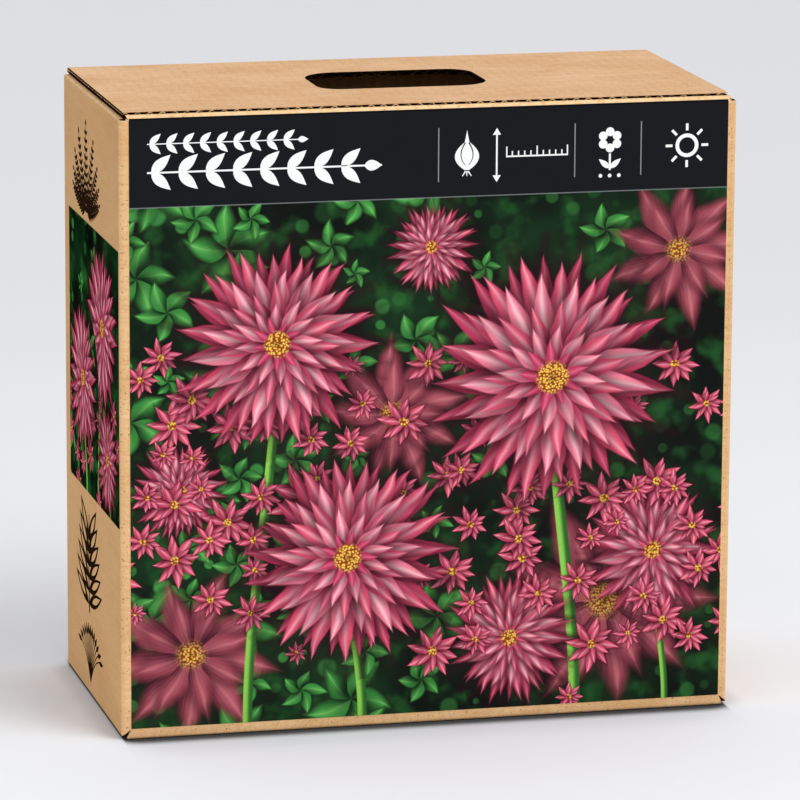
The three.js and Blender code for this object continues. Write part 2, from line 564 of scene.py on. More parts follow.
def kraft(name, tones, grain, washboard=1.0, contrast=None, overpaint=None):
    """Uncoated kraft liner over fluting.

    grain gives two directions of the sheet: the one in which the waves behind the liner
    follow one another, as the paper's own grain does, and the other one. washboard is how
    strongly the waves show, contrast how strongly the paper varies, and overpaint paints
    worn spots, painted shade and painted highlights over it.
    """
    paint = Paint(name, roughness=0.9, specular=0.05)
    a, b = (direction(paint) for direction in grain)
    sheet = paint.combine(a, b, (paint.x - paint.y + paint.z) * 0.31)
    clouds = paint.noise(paint.combine(a * 0.5, b, 3.0), 34, detail=3)
    streaks = paint.noise(paint.combine(a * 0.16, b, 11.0), 2.6, detail=3, roughness=0.6)
    fibres = paint.noise(paint.combine(a * 0.5, b * 1.7, 17.0), 0.9, detail=3)
    crossed = paint.noise(paint.combine(a * 1.9, b * 0.6, 7.0), 1.2, detail=2)
    dark_specks = paint.step(paint.noise(sheet, 1.15, detail=1), 0.64, 0.73)
    pale_specks = paint.step(paint.noise(paint.combine(a, b, 31.0), 0.9, 1), 0.69, 0.77)
    wave = paint.math("SINE", a * (TAU / FLUTE_PITCH))
    light = (clouds - 0.5) * 0.3 + (streaks - 0.5) * 0.45 + (fibres - 0.5) * 0.4
    light = light + (crossed - 0.5) * 0.2 + wave * (0.02 * washboard)
    amount = contrast(paint) if contrast else 1.0
    light = light * amount + (clouds - 0.5) * 0.15 + 0.5
    paint.coat = paint.mix(paint.step(light, 0.12, 0.88), *tones)
    paint.lay(dark_specks * 0.55 * amount, DARK_SPECK)
    paint.lay(pale_specks * 0.45, PALE_SPECK)
    if overpaint:
        overpaint(paint)
    paint.rough(fibres * 0.12 + 0.82)
    paint.relief(fibres * 0.35 + crossed * 0.25 + wave * (0.3 * washboard), 0.05)
    return paint.done()


def long_wall(paint, ends=0.0, fronts=1.0):
    """Goes from one number on the end walls to another on the two long walls."""
    return paint.step(abs(paint.y), HALF_Y - 3.5, HALF_Y - 1.5, ends, fronts)


def wall_contrast(paint):
    """The end walls' paper is calmer than that of the two long walls."""
    return long_wall(paint, 0.5, 1.1)


END_SHADE_TONE = "AE7230"    # painted shade: a deeper, darker tone on the end walls
PAINTED_SHADE_TONE = "8A6A48"   # painted shade, on the end walls and along the long walls' right edge
# Folds worn pale, and a painted highlight on their rounds.
RUB_AND_HIGHLIGHT_TONE = "FBDDB0"
# painted shade along the walls' foot
FOOT_SHADE_TONE = "3A2413"


def wall_wear_and_light(paint):
    """What differs over the walls, from their paper to the ink on their top fold.

    The end walls get a deeper tone of painted shade that grows darker upward. The long walls
    get a painted shade along their right edge. The folds are worn pale and get a painted
    highlight, the foot gets a painted shade, and the header's ink runs on over the top.
    """
    on_long = long_wall(paint)
    on_end = 1.0 - on_long
    # Painted shade: the end walls get a deeper tone, and grow darker towards their top.
    paint.lay(on_end * 0.2, END_SHADE_TONE)
    paint.lay(on_end * paint.step(paint.z, LEFT_LOW.z, LEFT_HIGH.z, 0.12, 0.26), PAINTED_SHADE_TONE)
    # The folds: worn pale in patches, with a painted highlight where they round over.
    upright = (paint.step(abs(paint.x), HALF_X - 3.0, HALF_X - 1.0)
               * paint.step(abs(paint.y), HALF_Y - 2.6, HALF_Y - 1.2) * 0.12)
    shoulder = paint.step(paint.z, LEFT_HIGH.z - 1.6, LEFT_HIGH.z - 0.2)
    rub_and_highlight = paint.math("MAXIMUM", upright, shoulder)
    # Painted shade along the long walls' right edge.
    right_edge_shade = paint.step(paint.x, HALF_X - 6.0, HALF_X - 2.0) * on_long
    paint.lay(right_edge_shade * 0.16, PAINTED_SHADE_TONE)
    patches = paint.step(paint.noise(paint.place, 3.5, detail=2), 0.2, 0.6)
    paint.lay(rub_and_highlight * patches * 0.5, RUB_AND_HIGHLIGHT_TONE)
    # Painted shade along the foot of the walls, where they meet the floor.
    paint.lay(paint.step(paint.z, 0.9, 0.3) * 0.8, FOOT_SHADE_TONE)
    header_rim = (paint.step(paint.z, PRINT_TOP + HEADER_RIM, PRINT_TOP + HEADER_RIM - 0.2)
                  * paint.more(paint.z, PRINT_TOP - 0.2)
                  * paint.step(abs(paint.x), PRINT_HALF, PRINT_HALF - 0.2)
                  * paint.more(abs(paint.y), HALF_Y - 1.0))
    paint.lay(header_rim, HEADER_TONES[0])


def torn_edge(name, tones, grain, shade_at_ends=0.0):
    """A cut through the board: rough paper, paler and darker in short stretches.

    tones are a dark and a pale one. shade_at_ends gives how much more of the dark one is laid
    over the lid's two ends, as painted shade.
    """
    paint = Paint(name, roughness=0.95, specular=0.0)
    patches = paint.noise(paint.place, grain, detail=2)
    fluff = paint.noise(paint.place, 0.4, detail=2)
    paint.coat = paint.mix(paint.step(patches, 0.42, 0.6), *tones)
    # Painted shade on the cut board at the lid's two ends.
    paint.lay(paint.step(abs(paint.x), HALF_X - 3.0, HALF_X - 2.0) * shade_at_ends, tones[0])
    paint.lay(fluff * 0.3, tones[0])
    paint.relief(fluff, 0.1)
    return paint.done()


WALL_TONES = ("D09D66", "F5CC9A")
LID_TONES = ("C49566", "E6C09A")
INNER_TONES = ("A87B4C", "CFA272")

WALL_GRAIN = (lambda p: p.x + p.y, lambda p: p.z)
TOP_GRAIN = (lambda p: p.x, lambda p: p.y)
END_GRAIN = TOP_GRAIN[::-1]
INNER_WASHBOARD = 2.5

kraft_wall = kraft("kraft_wall", WALL_TONES, WALL_GRAIN, 1.0, wall_contrast, wall_wear_and_light)
kraft_top = kraft("kraft_top", LID_TONES, TOP_GRAIN)
kraft_top_ends = kraft("kraft_top_ends", LID_TONES, END_GRAIN)
inner_wall = kraft("inner_wall", INNER_TONES, WALL_GRAIN, INNER_WASHBOARD)
inner_top = kraft("inner_top", INNER_TONES, TOP_GRAIN, INNER_WASHBOARD)
inner_top_ends = kraft("inner_top_ends", INNER_TONES, END_GRAIN, INNER_WASHBOARD)
# Near-black tones for the board's inside, its flutes and cut recesses: painted shade.
hollow_shade = torn_edge("board_hollow_shade", ("1A0F08", "3A2414"), 4.0)
cut_paper = torn_edge("board_cut", ("6B4A2C", "EBC796"), 2.2, 0.7)

LONG_BOARD = [kraft_top, inner_top, hollow_shade, cut_paper]
END_BOARD = [kraft_top_ends, inner_top_ends, hollow_shade, cut_paper]
WALL_BOARD = [kraft_wall, inner_wall, hollow_shade, cut_paper]

# ---- Walls ----

NOTCH_LENGTH = 9.0
NOTCH_DIRECTION = 52.0  # degrees from the print's corner, outward from level
NOTCH_OPENING = 13.0    # degrees to each side of that
NOTCH_DEPTH = 1.6
CHIP = (3.4, 6.2, 2.5)  # where torn paper in a lower notch starts and ends, and turns

BEYOND = 200.0          # past every wall, for the solids that cut them
ABOVE = 400.0           # past the lid, for the same


def notch_point(side, end, distance, degrees):
    """A place in the wall, by its distance and direction from the print's corner."""
    x, z = polar((0, 0), distance, degrees)
    foot = PRINT_FOOT - 0.3 if end < 0 else PRINT_TOP + 0.1
    return (side * (PRINT_HALF + 0.3 + x), foot + end * z)


def corner_notch(side, end, plane):
    """Wedge from a print's corner to the folds' corner, where the blank was slit."""
    points = [notch_point(side, end, 0, 0)]
    for angle in (NOTCH_DIRECTION - NOTCH_OPENING, NOTCH_DIRECTION + NOTCH_OPENING):
        points.append(notch_point(side, end, NOTCH_LENGTH, angle))
    # The notch's faces take the painted shade of a recess.
    return prism(points, -NOTCH_DEPTH, 2.0, plane, material=HOLLOW)


def notch_chip(side, plane):
    """A shred of paper that crosses a lower notch."""
    near, far, turn = CHIP
    points = [notch_point(side, -1, near, NOTCH_DIRECTION - turn),
              notch_point(side, -1, far, NOTCH_DIRECTION - turn - 3),
              notch_point(side, -1, far, NOTCH_DIRECTION + turn + 3),
              notch_point(side, -1, near + 0.6, NOTCH_DIRECTION + turn)]
    return prism(points, -NOTCH_DEPTH - 0.1, -0.5, plane)


def corner_slot(side, rear):
    """The open slot between two flaps at an upper corner, seen from above."""
    outer_x, inner_x = side * (HALF_X + 1), side * (HALF_X - SLOT_WIDTH)
    outer_y, inner_y = rear * (HALF_Y + 1), rear * (INNER_Y - 0.6)
    outline = rounded_rectangle(min(outer_x, inner_x), min(outer_y, inner_y),
                                max(outer_x, inner_x), max(outer_y, inner_y))
    # The front slots' faces take the painted shade. The rear ones stay kraft.
    return prism(outline, FRONT_HIGH.z - SLOT_DEPTH, LID_TOP + 50,
                 material=OUTER if rear > 0 else HOLLOW)


def make_walls():
    """The four walls as one sleeve of folded board."""
    plan = rounded_rectangle(-HALF_X, -HALF_Y, HALF_X, HALF_Y, (UPRIGHT_RADIUS,) * 4)
    form = prism(plan, 0, LID_TOP)
    radii = (BASE_RADIUS, BASE_RADIUS, SHOULDER_RADIUS, SHOULDER_RADIUS)
    sides = rounded_rectangle(-HALF_Y, 0, HALF_Y, FRONT_HIGH.z, radii)
    form = boolean(form, prism(sides, -BEYOND, BEYOND, from_the_right), "INTERSECT")
    # The end walls start higher and stop lower than the long ones.
    radii = (END_RADIUS, END_RADIUS, END_SHOULDER, END_SHOULDER)
    ends = rounded_rectangle(-HALF_X, LEFT_LOW.z - END_OVERHANG, HALF_X, LEFT_HIGH.z, radii)
    middle = rounded_rectangle(-INNER_X, -1, INNER_X, ABOVE)
    ends = boolean(prism(ends, -BEYOND, BEYOND, from_the_front),
                   prism(middle, -BEYOND, BEYOND, from_the_front), "UNION")
    form = boolean(form, ends, "INTERSECT")
    inside = rounded_rectangle(-INNER_X, -INNER_Y, INNER_X, INNER_Y)
    form = boolean(form, prism(inside, -5, ABOVE, material=INNER))
    above_back = rounded_rectangle(-BEYOND, INNER_Y - 0.5, BEYOND, BEYOND)
    form = boolean(form, prism(above_back, BACK_HIGH.z, ABOVE))
    for side in (-1, 1):
        for rear in (-1, 1):
            form = boolean(form, corner_slot(side, rear))
        for plane in (front_wall, back_wall):
            for end in (-1, 1):
                form = boolean(form, corner_notch(side, end, plane))
            add_to(form, notch_chip(side, plane))
    return form


piece("carton_walls", make_walls(), WALL_BOARD, "carton",
      replaces=("front_panel", "back_panel", "left_panel", "right_panel"))

TAB_SLANT = 14.0        # how much shorter the side seam's tab is at its free edge

tab_outline = [
    (TAB_LOW.x, TAB_LOW.z + TAB_SLANT), (TAB_HIGH.x, TAB_LOW.z),
    (TAB_HIGH.x, TAB_HIGH.z), (TAB_LOW.x, TAB_HIGH.z - TAB_SLANT)]
piece("side_seam_tab",
      corrugated(tab_outline, TAB_LOW.y, TAB_HIGH.y, "u", from_the_front),
      WALL_BOARD, "carton",
      replaces=("glue_tab",))

for node, waves, materials, slot in (
    ("bottom_front_flap", "u", LONG_BOARD, "kraft_board"),
    ("bottom_back_flap", "u", LONG_BOARD, "kraft_board"),
    ("bottom_left_flap", "v", END_BOARD, "kraft_inside"),
    ("bottom_right_flap", "v", END_BOARD, "kraft_inside"),
):
    low, high = node_box(node)
    outline = rounded_rectangle(low.x, low.y, high.x, high.y)
    # Their edges, in the gap under the end walls, take the painted shade.
    board = corrugated(outline, low.z, high.z, waves, flipped=True, edge=HOLLOW)
    piece(node.replace("_flap", "_board"), board, materials, "carton",
          replaces=(node,))

# ---- Lid ----


def make_lid():
    """Two liners with fluting between. The upper one bends down over the rear fold."""
    left, right = LID_LOW.x + LID_LEAN, LID_HIGH.x + LID_LEAN
    front, rear = LID_LOW.y, LID_HIGH.y
    hole = rounded_rectangle(
        -HOLE_LENGTH / 2, HOLE_MIDDLE - HOLE_WIDTH / 2,
        HOLE_LENGTH / 2, HOLE_MIDDLE + HOLE_WIDTH / 2, HOLE_CORNERS)
    fold = (rear - REAR_RADIUS, LID_TOP - REAR_RADIUS)
    skin = [(front, LID_TOP - LINER), (front, LID_TOP)]
    skin += arc(*fold, REAR_RADIUS, 90, 0)
    skin += [(REAR_LIMIT, LID_HINGE_Z + 0.04), (rear - LINER, LID_HINGE_Z + 0.02)]
    skin += arc(*fold, REAR_RADIUS - LINER, 0, 90)
    upper = prism(skin, left, right, from_the_right, material=HOLLOW, edge=OUTER)
    # The hole's cut faces and the lower liner's edges take the painted shade.
    upper = boolean(upper, prism(hole, LID_LOW.z - 5, LID_TOP + 5, material=HOLLOW))
    plan = rounded_rectangle(left, front, right, rear - REAR_RADIUS)
    lower = prism(plan, LID_LOW.z, LID_LOW.z + LINER, holes=[hole], material=INNER,
                  edge=HOLLOW, far_end=HOLLOW)
    wave = fluting(plan, LID_LOW.z + LINER, LID_TOP - LINER, "u", holes=[hole])
    return add_to(upper, lower, wave)


piece("lid_board", make_lid(), LONG_BOARD, "lid", replaces=("lid_flap",))

# Board folded over the back wall's top edge, up to the crease that the lid turns on.
CREASE_SKIN = 0.1
crease = [
    (INNER_Y, BACK_HIGH.z), (HALF_Y - CREASE_SKIN, BACK_HIGH.z),
    (HALF_Y - CREASE_SKIN, BACK_HIGH.z - 2.4), (HALF_Y, BACK_HIGH.z - 2.4),
    (REAR_LIMIT, LID_HINGE_Z - 0.08), (HALF_Y, LID_HINGE_Z - 0.04),
    (INNER_Y, LID_HINGE_Z - 0.04)]
piece("rear_crease",
      prism(crease, SLOT_WIDTH - HALF_X, HALF_X - SLOT_WIDTH, from_the_right),
      LONG_BOARD, "carton")

# ---- Inner top flaps ----

SIDE_EASE = 0.8         # how much narrower they are drawn at each side, to swing free


def make_front_flap():
    """Front inner flap, with the liner that joins its root to the wall's top crease."""
    low, high = node_box("front_inner_flap")
    low.x += SIDE_EASE
    high.x -= SIDE_EASE
    outline = rounded_rectangle(
        low.x, low.y, high.x, high.y, (0, 0, FLAP_CORNER, FLAP_CORNER))
    root = [(low.y, low.z), (low.y, high.z), (-INNER_Y + 0.02, FRONT_HIGH.z),
            (-INNER_Y + 0.22, FRONT_HIGH.z - 0.1), (low.y + 0.2, low.z)]
    return add_to(corrugated(outline, low.z, high.z, "u"),
                  prism(root, low.x, high.x, from_the_right))


piece("front_flap_board", make_front_flap(), LONG_BOARD, "front_flap",
      replaces=("front_inner_flap",))

STRIP = 0.2             # liner that bridges an end wall's fold and its dust flap
STRIP_STEPS = 8


def make_dust_strip(side, flap_low, flap_high):
    """Outer liner from the end wall's fold down to the dust flap's upper face."""
    face = INNER_X - 0.17
    over_wall = LEFT_HIGH.z + 0.1
    on_flap = flap_high.z + 0.15
    bend = 0.45
    path = [(face + bend + 0.5, over_wall)]
    path += arc(face + bend, over_wall - bend, bend, 90, 180, 4)
    drop = over_wall - on_flap - 2 * bend
    path += [(face, over_wall - bend - drop * i / STRIP_STEPS)
             for i in range(1, STRIP_STEPS + 1)]
    path += arc(face - bend, on_flap + bend, bend, 0, -90, 4)[1:]
    path += [(face - bend - i, on_flap) for i in (1, 2, 3)]
    profile = [(side * x, z) for x, z in stroke(path, STRIP)]
    return prism(profile, flap_low.y + 0.1, flap_high.y - 0.1, from_the_front)


for name, side, radii in (
    ("left", -1, (0, FLAP_CORNER, FLAP_CORNER, 0)),
    ("right", 1, (FLAP_CORNER, 0, 0, FLAP_CORNER)),
):
    node = f"{name}_dust_flap"
    low, high = node_box(node)
    low.y += SIDE_EASE
    high.y -= SIDE_EASE
    outline = rounded_rectangle(low.x, low.y, high.x, high.y, radii)
    piece(f"{name}_dust_board", corrugated(outline, low.z, high.z, "v"), END_BOARD,
          f"{name}_flap", replaces=(node,))
    strip = piece(f"{name}_dust_crease", make_dust_strip(side, low, high), END_BOARD,
                  None)
    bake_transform(strip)

# ---- Printed picture: a garden of many-petalled flowers ----

# The long sheets have a faint satin gloss. The end sheets are matt.
PRINT_GLOSS = {"front": 0.08, "back": 0.08, "left": 0.0, "right": 0.0}
CONTRAST = 1.12         # of the picture's colours

# The eyes of small and large flowers: their reach, and how soft their edge is.
SMALL_EYE, LARGE_EYE = (0.15, 0.03), (0.12, 0.015)
BLUR_TONES = ("4A1C2A", "A8505F", "CC7F86")
DRIFT_TONES = ("5A0F2A", "D6506F", "FCB6C2")
DEEP_TONES = ("43081E", "BE3E60", "E88098")
MIDDLE_TONES = ("600F29", "D85473", "FCB4C0")
PALE_TONES = ("84203E", "EC8298", "FFDCDD")
HEART_TONES = ("4C0C22", "C03A62", "E98099")
LEAF_TONES = ("102C15", "429548", "82CC6E")

# Rings of petals: reach, number, half width, twist and tones, from the rim inward.
BIG_RINGS = [
    (1.0, 21.0, 0.105, 0.10, DEEP_TONES),
    (0.94, 19.0, 0.105, -0.08, MIDDLE_TONES),
    (0.79, 17.0, 0.095, 0.12, PALE_TONES),
    (0.62, 15.0, 0.08, -0.10, MIDDLE_TONES),
    (0.45, 12.0, 0.065, 0.10, PALE_TONES),
    (0.28, 9.0, 0.05, 0.0, HEART_TONES),
]
DRIFT_RINGS = [(1.0, 8.0, 0.17, 0.1, DRIFT_TONES), (0.72, 7.0, 0.12, 0.0, MIDDLE_TONES)]
BLUR_RINGS = [(1.0, 9.0, 0.19, 0.1, BLUR_TONES), (0.7, 8.0, 0.14, 0.0, BLUR_TONES)]
LEAF_RINGS = [(1.0, 5.0, 0.26, 0.4, LEAF_TONES)]

# Flowers of the long print, as (u, v, radius) from the nearest layer to the furthest.
NEAR_FLOWERS = [(-82, 208, 56), (66, 184, 70), (-44, 92, 60)]
MIDDLE_FLOWERS = [(122, 88, 38), (-134, 132, 26), (0, 256, 25), (44, 44, 36)]
FAR_FLOWERS = [(134, 250, 40), (-128, 44, 46), (-20, 168, 40), (96, 62, 60)]
# Stalks: where each stands at its foot and its top, the top's height, and its width.
LONG_STEMS = [(-98, -82, 208, 5.0), (80, 66, 184, 6.0), (-36, -44, 92, 5.0),
              (130, 122, 88, 3.5)]
LONG_BRIGHTNESS = 1.13

SIDE_NEAR = [(30, 210, 44), (-26, 172, 41)]
SIDE_MIDDLE = [(44, 142, 29)]
SIDE_STEMS = [(18, 30, 208, 5.0), (-14, -26, 172, 5.0), (52, 44, 144, 3.5)]
SIDE_BRIGHTNESS = 1.12


class Picture(Paint):
    """A printed sheet, painted in layers from the furthest to the nearest."""

    def __init__(self, name, wall):
        super().__init__(name, roughness=0.45, specular=PRINT_GLOSS[wall])
        self.u = {"front": self.x, "back": -self.x, "left": -self.y, "right": self.y}[wall]
        self.sheet = self.combine(self.u, self.z)
        wobble = self.noise(self.sheet, 14, detail=1) - 0.5
        bend = self.combine(wobble * 3.0, wobble * -2.4)
        self.bent = self.vector("ADD", self.sheet, bend)

    def foliage(self):
        """Dark garden greens, out of focus, with round spots of light."""
        broad = self.noise(self.sheet, 60, detail=3)
        fine = self.noise(self.sheet, 17, detail=2)
        self.coat = self.mix(self.step(broad, 0.35, 0.68), "0B120D", "193A20")
        self.lay(self.step(fine, 0.48, 0.72) * 0.8, "295E2F")
        left = self.step(self.u, 60.0, -150.0)
        spots = self.cells(self.sheet, 13.0)
        chance = self.part(spots.output("Color"), 0)
        room = self.cells(self.sheet, 13.0, "Radius", feature="N_SPHERE_RADIUS")
        lit = self.step(spots / room, 1.0, 0.6) * self.step(chance, 0.5, 0.95)
        self.lay(lit * (left * 0.5 + 0.2), "57AE5A")
        self.lay(self.step(fine, 0.34, 0.2) * 0.8, "050A09")

    def petal_ring(self, radius, angle, seed, ring, soft):
        """A ring of pointed petals round a place's distance and angle from the middle."""
        reach, count, width, twist, (dark, light, streak) = ring
        turn = (angle + radius * twist) * (count / TAU) + seed
        index = self.math("FLOOR", turn)
        across = turn - index - 0.5
        chance = self.chance(self.math("WRAP", index, count, 0.0) + seed * 7.0)
        along = self.math("MINIMUM", radius / (chance * (0.2 * reach) + 0.84 * reach), 1.3)
        half = self.math("SINE", along ** 0.8 * math.pi) * width
        offset = abs(across) * radius * (TAU / count)
        depth = half - offset
        rib = 1.0 - self.math("MINIMUM", offset / self.math("MAXIMUM", half, 0.01), 1.0)
        veins = self.math("SINE", offset / (along + 0.3) * 130.0) * 0.05
        shade = self.step(along * 0.8 + chance * 0.3 + across * 0.5 + veins, 0.08, 0.98)
        colour = self.mix(shade, dark, light)
        colour = self.mix(rib ** 2.5 * shade * 0.75, colour, streak)
        self.lay(self.step(depth, -0.1 - soft, 0.02) * 0.55, "2A0A16")
        self.lay(self.step(depth, -soft, soft), colour)

    def flower(self, local, seed, rings, soft, eye):
        """Rings of petals, the rim's first, and a yellow eye of small dots, if any.

        local is a place from the flower's middle, with the rim at a distance of 1.
        """
        radius = self.vector("LENGTH", local)
        angle = self.math("ARCTAN2", self.part(local, 1), self.part(local, 0))
        for number, ring in enumerate(rings):
            self.petal_ring(radius, angle, seed + number * 0.5, ring, soft)
        if eye:
            reach, edge = eye[0], eye[1] + soft
            dots = self.step(self.cells(self.bent, 1.4), 0.15, 0.6)
            colour = self.mix(dots, "F4CF63", "9A4A1A")
            core = self.step(radius, reach * 0.55, 0.0) * 0.6
            colour = self.mix(core, colour, "6B3A17")
            self.lay(self.step(radius, reach + edge, reach - edge), colour)

    def placed(self, flowers, rings, soft):
        """Large flowers, given as (u, v, radius)."""
        local, seed = self.combine(9.0, 9.0), 0.3
        for number, (u, v, radius) in enumerate(flowers):
            offset = self.vector("SUBTRACT", self.bent, (u, v, 0.0))
            offset = self.vector("SCALE", offset, scale=1 / radius)
            near = self.math("LESS_THAN", self.vector("LENGTH", offset), 1.12)
            local = self.mix(near, local, offset, "VECTOR")
            seed = self.mix(near, seed, 0.3 + number * 0.37, "FLOAT")
        self.flower(local, seed, rings, soft, LARGE_EYE)

    def strewn(self, spacing, shift, share, rings, soft, eye=SMALL_EYE):
        """Small flowers, at most one to a cell, that never cross the next one's cell.

        share is a function that says how many cells, from 0 to 1, have one at (u, v).
        """
        shift = (shift, shift * 1.7, 0.0)
        moved = self.vector("ADD", self.bent, shift)
        middle = self.cells(moved, spacing, "Position", 0.7)
        chances = middle.output("Color")
        room = self.cells(moved, spacing, "Radius", 0.7, "N_SPHERE_RADIUS") * spacing
        local = self.vector("SUBTRACT", moved, middle)
        middle = self.vector("SUBTRACT", middle, shift)
        wanted = share(self, self.part(middle, 0), self.part(middle, 1))
        shown = self.more(wanted, self.part(chances, 0))
        size = room * self.math("MAXIMUM", shown, 0.001)
        local = self.vector("SCALE", local, scale=1.0 / size)
        self.flower(local, self.part(chances, 1) * 5.0, rings, soft, eye)

    def stems(self, stalks, foot, soft):
        """Green stalks from the sheet's foot up to the flowers."""
        for start, end, top, width in stalks:
            rise = self.step(self.z, foot, top)
            line = self.u - (start + rise * (end - start))
            inside = self.step(abs(line), width / 2 + soft, width / 2 - soft)
            inside = inside * self.math("LESS_THAN", self.z, top)
            ribs = self.math("SINE", line * (9.0 / width)) * 0.1
            shade = self.step(line / width + ribs, -0.5, 0.5)
            self.lay(inside, self.mix(shade, "93CF5C", "245F2C"))

    def brighten(self, brightness):
        """Makes the colours so far stronger and lighter."""
        stronger = self.node("Gamma", {"Color": self.coat, "Gamma": CONTRAST})
        self.coat = self.vector("SCALE", stronger, scale=brightness)

    def finish(self):
        """Ink on paper: a fine grain and a faint mottle in the gloss."""
        grain = self.noise(self.sheet, 0.45, detail=1)
        self.lay(self.step(grain, 0.62, 0.3) * 0.16, "000000")
        self.rough(self.noise(self.sheet, 9, detail=2) * 0.12 + 0.4)
        self.relief(grain, 0.008)
        return self.done()


def near_drift(paint, u, v):
    """Sharp small flowers fill a loose band below and beside the large ones."""
    return paint.step(abs(v - (u * -0.12 + 112.0)), 110.0, 40.0) * 0.9


def leafy_side(paint, u, _):
    """Blurred leaves thin out from left to right."""
    return paint.step(u, 150.0, -110.0) * 0.85


def side_drift(paint, _, v):
    """Small flowers gather below the large ones."""
    return paint.step(v, 190.0, 150.0) * 0.9


def long_print(name, wall):
    """Dark band over a flower garden."""
    picture = Picture(name, wall)
    picture.foliage()
    picture.strewn(56.0, 2.2, leafy_side, LEAF_RINGS, 0.1, None)
    picture.strewn(34.0, 8.1, leafy_side, LEAF_RINGS, 0.06, None)
    picture.placed(FAR_FLOWERS, BLUR_RINGS, 0.09)
    picture.stems(LONG_STEMS, PRINT_FOOT, 0.4)
    picture.placed(MIDDLE_FLOWERS, BIG_RINGS, 0.028)
    picture.strewn(38.0, 1.9, near_drift, DRIFT_RINGS, 0.02)
    picture.strewn(29.0, 14.6, near_drift, DRIFT_RINGS, 0.02)
    picture.placed(NEAR_FLOWERS, BIG_RINGS, 0.01)
    picture.brighten(LONG_BRIGHTNESS)
    band = picture.mix(picture.noise(picture.sheet, 30, detail=2), *HEADER_TONES)
    picture.lay(picture.more(picture.z, HEADER_FOOT), band)
    rule = picture.math("LESS_THAN", abs(picture.z - HEADER_FOOT), 0.3)
    picture.lay(rule * 0.5, "8F9794")
    return picture.finish()


def side_print(name, wall):
    """A taller cut of the same garden."""
    picture = Picture(name, wall)
    picture.foliage()
    picture.strewn(30.0, 2.2, leafy_side, LEAF_RINGS, 0.08, None)
    picture.stems(SIDE_STEMS, SIDE_LOW.z, 0.3)
    picture.strewn(22.0, 5.2, side_drift, DRIFT_RINGS, 0.06)
    picture.placed(SIDE_MIDDLE, BIG_RINGS, 0.03)
    picture.placed(SIDE_NEAR, BIG_RINGS, 0.012)
    picture.brighten(SIDE_BRIGHTNESS)
    return picture.finish()


# ---- Printed sheets ----

BAKE_MARGIN = 0.005     # of the bake's square, left free round the printed face


def add_bake_map(made, low, high, wall):
    """Gives the printed face nearly the whole bake, and the sheet's edges a corner."""
    mesh = made.data
    uvs = mesh.uv_layers.new(name="OFBake")
    outward = wall(0, 0, 1) - wall(0, 0, 0)
    right = wall(1, 0, 0) - wall(0, 0, 0)
    for face in mesh.polygons:
        facing = face.normal.dot(outward) > 0.9
        size = 1 - 2 * BAKE_MARGIN if facing else BAKE_MARGIN * 0.8
        start = BAKE_MARGIN if facing else 0.0
        for loop in face.loop_indices:
            place = mesh.vertices[mesh.loops[loop].vertex_index].co * METRE
            across = (place.dot(right) - low[0]) / (high[0] - low[0])
            up = (place.z - low[1]) / (high[1] - low[1])
            uvs.data[loop].uv = (start + size * across, start + size * up)


LONG_CORNERS = (-PRINT_HALF, PRINT_FOOT), (PRINT_HALF, PRINT_TOP)
SIDE_CORNERS = (-SIDE_HIGH.y, SIDE_LOW.z), (-SIDE_LOW.y, SIDE_HIGH.z)
SHEET_CORNER = 0.4

for name, wall, (low, high), make in (
    ("front", front_wall, LONG_CORNERS, long_print),
    ("back", back_wall, LONG_CORNERS, long_print),
    ("left", left_wall, SIDE_CORNERS, side_print),
    ("right", right_wall, SIDE_CORNERS, side_print),
):
    outline = rounded_rectangle(*low, *high, (SHEET_CORNER,) * 4)
    sheet = piece(f"{name}_print", prism(outline, 0.0, SHEET, wall),
                  [make(f"{name}_print", name)], "carton",
                  replaces=(f"{name}_print_sheet",))
    add_bake_map(sheet, low, high, wall)

# ---- Marks printed on the sheets and walls ----


def ink(name, code, roughness=0.6, specular=0.05):
    """Flat printing ink with a slight mottle where the paper takes it unevenly."""
    paint = Paint(name, roughness=roughness, specular=specular)
    mottle = paint.noise(paint.place, 0.8, detail=2)
    paint.coat = paint.mix(paint.step(mottle, 0.5, 0.85) * 0.25, code, "8A7460")
    paint.rough(mottle * 0.15 + roughness)
    return paint.done()


white_ink = ink("white_ink", "F4F4F2", 0.45)
grey_ink = ink("grey_ink", "8C8F92", 0.45)
brown_ink = ink("brown_ink", "1E1008", specular=0.0)


def garland(left, right, level, size, leaves):
    """A level twig with pairs of leaves."""
    twig = stroke([(left, level), (right, level)], size * 0.05)
    marks = [twig]
    pitch = (right - left - size * 0.5) / leaves
    for i in range(leaves):
        foot = (left + pitch * (i + 0.15), level)
        for side in (-1, 1):
            tip = polar(foot, size * 0.72, side * 42)
            marks.append(leaf(foot, tip, size * 0.3))
    marks.append(leaf((right - size * 0.5, level), (right, level), size * 0.3))
    return marks


def bulb_mark(x, z):
    """A bulb with two lighter skins left out, and short roots."""
    width, height, neck = 7.6, 17.0, 8.0
    right = [(x + 1.2, z - height / 2)]
    right += curve((x + 1.2, z - height / 2), (x + width * 1.55, z - height * 0.1),
                   (x + 1.3, z + height * 0.36), 12)[1:]
    right += curve((x + 1.3, z + height * 0.36), (x + 0.7, z + height * 0.5),
                   (x, z + height / 2 + neck / 2), 5)[1:]
    left = [(2 * x - px, pz) for px, pz in right[-2::-1]]
    marks = [right + left]
    for lean in (-2.4, 0.0, 2.4):
        root = (x + lean * 0.3, z - height / 2 - 0.6)
        marks.append(stroke([root, (x + lean, z - height / 2 - 3.2)], 0.8, 0.4))
    skins = [stroke(curve((x + side * 0.8, z - 6.0), (x + side * 5.6, z - 1.0),
                          (x + side * 0.9, z + 6.0), 8), 0.3, 0.7) for side in (-1, 1)]
    return marks, skins


